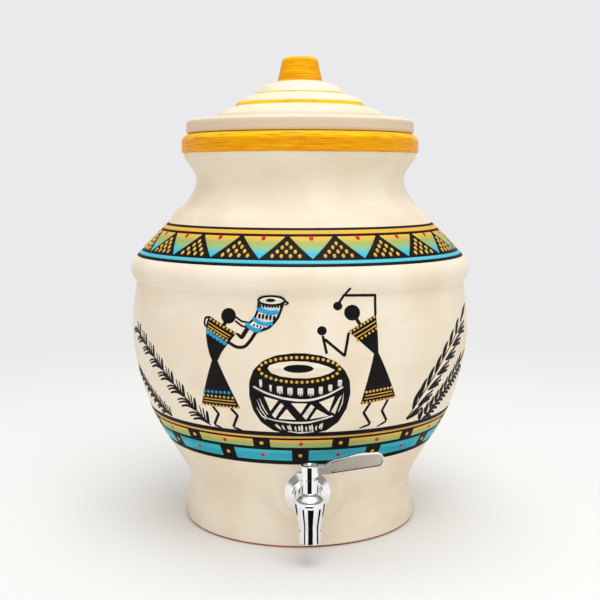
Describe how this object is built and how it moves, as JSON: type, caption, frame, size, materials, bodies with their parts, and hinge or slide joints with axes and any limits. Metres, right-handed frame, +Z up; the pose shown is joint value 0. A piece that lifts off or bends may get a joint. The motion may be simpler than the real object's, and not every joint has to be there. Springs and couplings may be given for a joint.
{
  "type": "water jar with tap",
  "caption": "Painted terracotta water jar with a waisted foot, a stepped lift-off lid with a knob, and a quarter-turn lever tap low on its front.",
  "frame": {"origin": "centre of the flat base, on the jar's axis, at the height of the surface it stands on", "axes": "+Z up along the jar's axis; the tap faces -Y; with the tap shut its lever points to +X"},
  "size_m": [0.2813, 0.2872, 0.3832],
  "materials": {
    "painted_clay": "cream paint under clear lacquer, satin gloss",
    "polished_steel": "mirror polished",
    "plain_steel": "machined",
    "soft_seal": "matt translucent white",
    "ring_rubber": "matt black",
    "seat_plastic": "waxy white"
  },
  "bodies": {
    "vessel": {"jar": "painted_clay", "escutcheon": "polished_steel", "outer_gasket": "soft_seal", "inner_gasket": "soft_seal", "clamp_washer": "plain_steel", "lock_nut": "plain_steel", "threaded_shank": "plain_steel", "tap_body": "polished_steel", "inlet_seat": "seat_plastic", "front_seat": "seat_plastic", "thrust_washer": "seat_plastic"},
    "handle": {"lever_handle": "polished_steel", "handle_screw": "polished_steel", "valve_stem": "plain_steel", "stem_o_rings": "ring_rubber", "valve_ball": "polished_steel"},
    "cover": {"lid": "painted_clay"}
  },
  "joints": [
    {"name": "tap_turn", "type": "hinge", "parent": "vessel", "child": "handle", "pos_m": [0, -0.135, 0.0473], "axis": [0, 0, -1], "range_deg": [0, 90]},
    {"name": "lid_lift", "type": "slide", "parent": "vessel", "child": "cover", "axis": [0, 0, 1], "range_m": [0, 0.2]}
  ]
}
